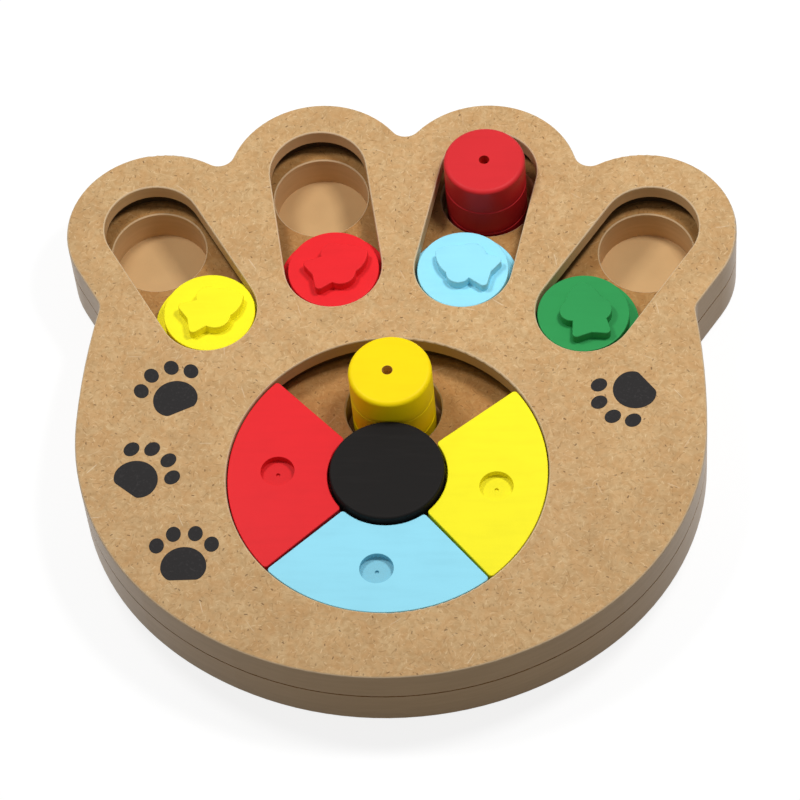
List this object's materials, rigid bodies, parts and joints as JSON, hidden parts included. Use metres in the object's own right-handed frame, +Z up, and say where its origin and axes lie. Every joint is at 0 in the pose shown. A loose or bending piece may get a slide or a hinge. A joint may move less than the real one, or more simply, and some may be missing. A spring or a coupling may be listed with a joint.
{
  "type": "pet puzzle toy",
  "caption": "Paw-shaped fibreboard puzzle for a dog, with undercut slots for sliding discs, a carousel of turning sectors round a hub, treat wells and lift-out pegs.",
  "frame": {"origin": "middle of the boards' outline on their underside", "axes": "+Z up, +Y towards the paw's toes, +X to the right seen from the heel"},
  "size_m": [0.2544, 0.254, 0.0419],
  "materials": {
    "mdf": "raw fibreboard with a thin satin sealer",
    "black_paint": "black stain",
    "screw_steel": "zinc plated",
    "ink": "screen ink",
    "yellow_paint": "satin water paint on fibreboard",
    "red_paint": "satin water paint on fibreboard",
    "blue_paint": "satin water paint on fibreboard",
    "green_paint": "satin water paint on fibreboard"
  },
  "bodies": {
    "board": {"face_board": "mdf", "base_board": "mdf", "hub_neck": "black_paint", "hub_cap": "black_paint", "hub_screw": "screw_steel", "paw_prints": "ink"},
    "slider_yellow": {"slider_flange_yellow": "yellow_paint"},
    "knob_yellow": {"slider_disc_yellow": "yellow_paint", "slider_fish_yellow": "yellow_paint"},
    "slider_red": {"slider_flange_red": "red_paint"},
    "knob_red": {"slider_disc_red": "red_paint", "slider_fish_red": "red_paint"},
    "slider_blue": {"slider_flange_blue": "blue_paint"},
    "knob_blue": {"slider_disc_blue": "blue_paint", "slider_fish_blue": "blue_paint"},
    "slider_green": {"slider_flange_green": "green_paint"},
    "knob_green": {"slider_disc_green": "green_paint", "slider_fish_green": "green_paint"},
    "sector_blue": {"sector_tongue_blue": "blue_paint", "sector_plate_blue": "blue_paint"},
    "sector_red": {"sector_tongue_red": "red_paint", "sector_plate_red": "red_paint"},
    "sector_yellow": {"sector_tongue_yellow": "yellow_paint", "sector_plate_yellow": "yellow_paint"},
    "peg_red": {"peg_bottom_red": "red_paint", "peg_middle_red": "red_paint", "peg_top_red": "red_paint"},
    "peg_yellow": {"peg_bottom_yellow": "yellow_paint", "peg_middle_yellow": "yellow_paint", "peg_top_yellow": "yellow_paint"}
  },
  "joints": [
    {"name": "slider_yellow_slide", "type": "slide", "parent": "board", "child": "slider_yellow", "axis": [-0.5299, 0.848, 0], "range_m": [0, 0.0471]},
    {"name": "knob_yellow_spin", "type": "hinge", "parent": "slider_yellow", "child": "knob_yellow", "pos_m": [-0.07016, 0.03008, 0.016], "axis": [0, 0, 1], "continuous": true},
    {"name": "slider_red_slide", "type": "slide", "parent": "board", "child": "slider_red", "axis": [-0.1805, 0.9836, 0], "range_m": [0, 0.0471]},
    {"name": "knob_red_spin", "type": "hinge", "parent": "slider_red", "child": "knob_red", "pos_m": [-0.02444, 0.04997, 0.016], "axis": [0, 0, 1], "continuous": true},
    {"name": "slider_blue_slide", "type": "slide", "parent": "board", "child": "slider_blue", "axis": [0.1805, 0.9836, 0], "range_m": [0, 0.0045]},
    {"name": "knob_blue_spin", "type": "hinge", "parent": "slider_blue", "child": "knob_blue", "pos_m": [0.02444, 0.04997, 0.016], "axis": [0, 0, 1], "continuous": true},
    {"name": "slider_green_slide", "type": "slide", "parent": "board", "child": "slider_green", "axis": [0.5299, 0.848, 0], "range_m": [0, 0.0471]},
    {"name": "knob_green_spin", "type": "hinge", "parent": "slider_green", "child": "knob_green", "pos_m": [0.07016, 0.03008, 0.016], "axis": [0, 0, 1], "continuous": true},
    {"name": "sector_blue_turn", "type": "hinge", "parent": "board", "child": "sector_blue", "pos_m": [0, -0.04111, 0.016], "axis": [0, 0, 1], "range_deg": [-10, 12]},
    {"name": "sector_red_turn", "type": "hinge", "parent": "sector_blue", "child": "sector_red", "pos_m": [0, -0.04111, 0.016], "axis": [0, 0, 1], "range_deg": [-10, 0]},
    {"name": "sector_yellow_turn", "type": "hinge", "parent": "sector_blue", "child": "sector_yellow", "pos_m": [0, -0.04111, 0.016], "axis": [0, 0, 1], "range_deg": [0, 12]},
    {"name": "peg_red_lift", "type": "slide", "parent": "board", "child": "peg_red", "axis": [0, 0, 1], "range_m": [0, 0.04]},
    {"name": "peg_yellow_lift", "type": "slide", "parent": "board", "child": "peg_yellow", "axis": [0, 0, 1], "range_m": [0, 0.04]}
  ]
}
